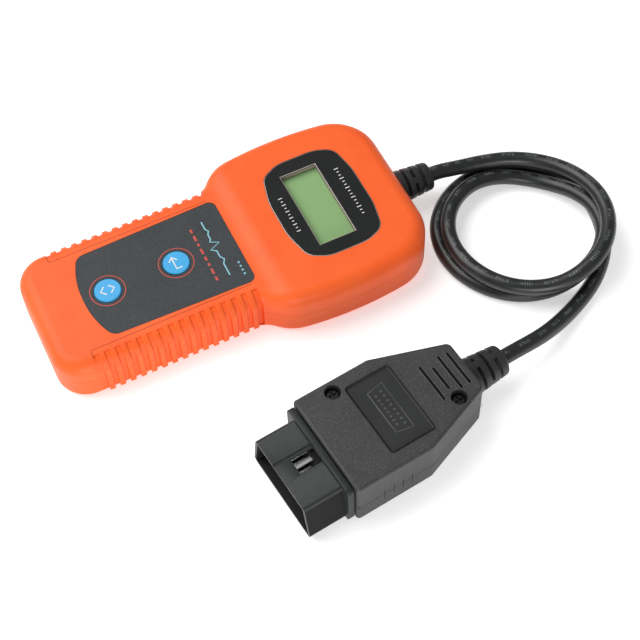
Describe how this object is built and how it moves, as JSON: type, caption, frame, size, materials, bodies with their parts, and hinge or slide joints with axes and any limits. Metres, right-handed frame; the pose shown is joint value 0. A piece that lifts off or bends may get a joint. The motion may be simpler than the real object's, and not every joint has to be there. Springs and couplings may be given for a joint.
{
  "type": "vehicle diagnostic code reader",
  "caption": "Waisted handheld reader with a small display and keys, a loosely coiled lead and a trapezoidal diagnostic plug that fits a car's service socket.",
  "frame": {"origin": "middle of the handset's underside, at the height of the surface it lies on", "axes": "+Z out of the face with the keys and the display, +Y from the grip towards the cable, +X to the reader's right"},
  "size_m": [0.1654, 0.2364, 0.024],
  "materials": {
    "case_orange": "fine satin grain",
    "keypad_charcoal": "fine textured film",
    "key_blue": "smooth",
    "bezel_black": "polished",
    "display_green": "glossy",
    "gasket_brown": "soft foam",
    "light_guide": "translucent white",
    "board_green": "solder mask",
    "chip_black": "moulded",
    "trimmer_blue": "moulded",
    "tinned_brass": "tin plated",
    "bright_steel": "plain",
    "dark_steel": "black oxide",
    "cable_black": "soft vinyl, semi-gloss",
    "plug_grey": "fine spark texture",
    "shroud_black": "smooth satin",
    "wire_red": "vinyl insulation"
  },
  "bodies": {
    "root": {"front_cover": "case_orange", "rear_cover": "case_orange", "case_screws": "dark_steel", "board_screws": "bright_steel", "keypad_film": "keypad_charcoal", "enter_switch_base": "chip_black", "scroll_switch_base": "chip_black", "display_bezel": "bezel_black", "display_frame": "bright_steel", "display_gasket": "gasket_brown", "display_glass": "display_green", "backlight_panel": "light_guide", "display_board": "board_green", "display_header": "chip_black", "header_pins": "tinned_brass", "main_board": "board_green", "controller_chip": "chip_black", "transceiver_chip": "chip_black", "chip_legs": "tinned_brass", "crystal": "bright_steel", "capacitors": "bright_steel", "voltage_regulator": "chip_black", "contrast_trimmer": "trimmer_blue", "board_socket": "light_guide", "wire_housing": "light_guide", "lead_wires": "wire_red", "handset_jacket_end": "cable_black", "handset_strain_relief": "cable_black", "cable_lead": "cable_black", "cable_coil": "cable_black", "cable_tail": "cable_black", "plug_top_shell": "plug_grey", "plug_bottom_shell": "plug_grey", "plug_screws": "dark_steel", "connector_shroud": "shroud_black", "pin_carrier": "shroud_black", "connector_pins": "tinned_brass", "plug_wires": "wire_red", "plug_jacket_end": "cable_black", "plug_cable_clamp": "bright_steel", "plug_strain_relief": "cable_black"},
    "enter_key": {"enter_button": "key_blue", "enter_switch_stem": "chip_black"},
    "scroll_key": {"scroll_button": "key_blue", "scroll_switch_stem": "chip_black"}
  },
  "joints": [
    {"name": "enter_press", "type": "slide", "parent": "root", "child": "enter_key", "axis": [0, 0, -1], "range_m": [0, 0.0005], "stiffness_N_per_m": 1200},
    {"name": "scroll_press", "type": "slide", "parent": "root", "child": "scroll_key", "axis": [0, 0, -1], "range_m": [0, 0.0005], "stiffness_N_per_m": 1200}
  ]
}
